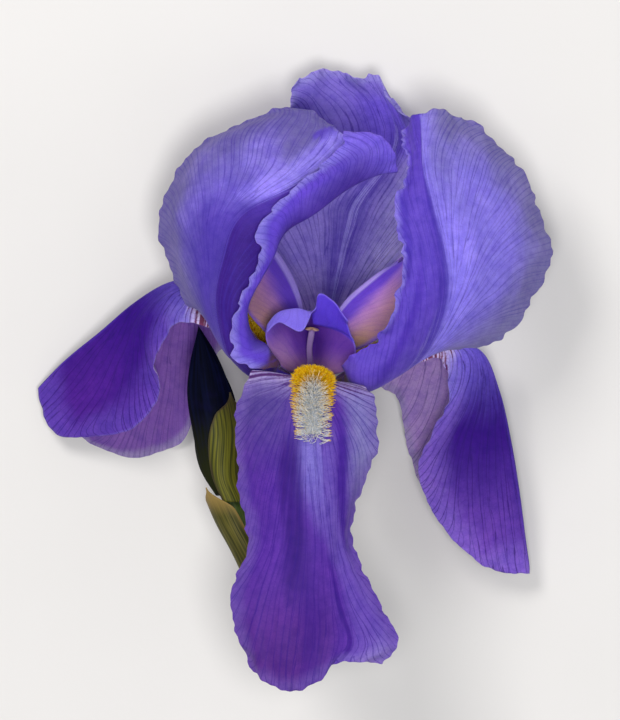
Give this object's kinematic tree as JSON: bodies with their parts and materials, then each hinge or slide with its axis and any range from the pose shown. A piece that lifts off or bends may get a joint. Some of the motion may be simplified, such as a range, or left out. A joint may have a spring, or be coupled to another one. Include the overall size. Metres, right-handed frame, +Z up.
{
  "type": "bearded iris flower",
  "caption": "Bearded iris flower lying on its back, with upright ruffled standards, hanging falls with hairy beards, crested style arms, and a bud on a short cut stem.",
  "frame": {"origin": "middle of the bounding box at the level of the surface on which the flower lies", "axes": "+X to the right of the flower as seen from its open front, +Y along its axis from the stem to the standards, +Z up from the surface, which is where its front faces"},
  "size_m": [0.1295, 0.1556, 0.0765],
  "materials": {
    "standard_petal": "satin",
    "fall_petal": "satin",
    "beard_hair": "matte",
    "style_petal": "satin",
    "stamen_skin": "matte",
    "tube_skin": "satin",
    "ovary_skin": "satin",
    "stem_skin": "satin",
    "spathe_leaf": "matte",
    "dry_bract": "matte",
    "bud_petal": "satin"
  },
  "bodies": {
    "root": {"standard_left": "standard_petal", "standard_right": "standard_petal", "standard_back": "standard_petal", "fall_front": "fall_petal", "fall_left": "fall_petal", "fall_right": "fall_petal", "beard_front": "beard_hair", "beard_left": "beard_hair", "beard_right": "beard_hair", "style_arm_front": "style_petal", "style_arm_left": "style_petal", "style_arm_right": "style_petal", "stamen_front": "stamen_skin", "stamen_left": "stamen_skin", "stamen_right": "stamen_skin", "perianth_tube": "tube_skin", "ovary": "ovary_skin", "stem": "stem_skin", "spathe_inner": "spathe_leaf", "spathe_outer": "spathe_leaf", "bud": "bud_petal", "bud_spathe": "spathe_leaf", "bud_bract_dry": "dry_bract"}
  },
  "joints": []
}
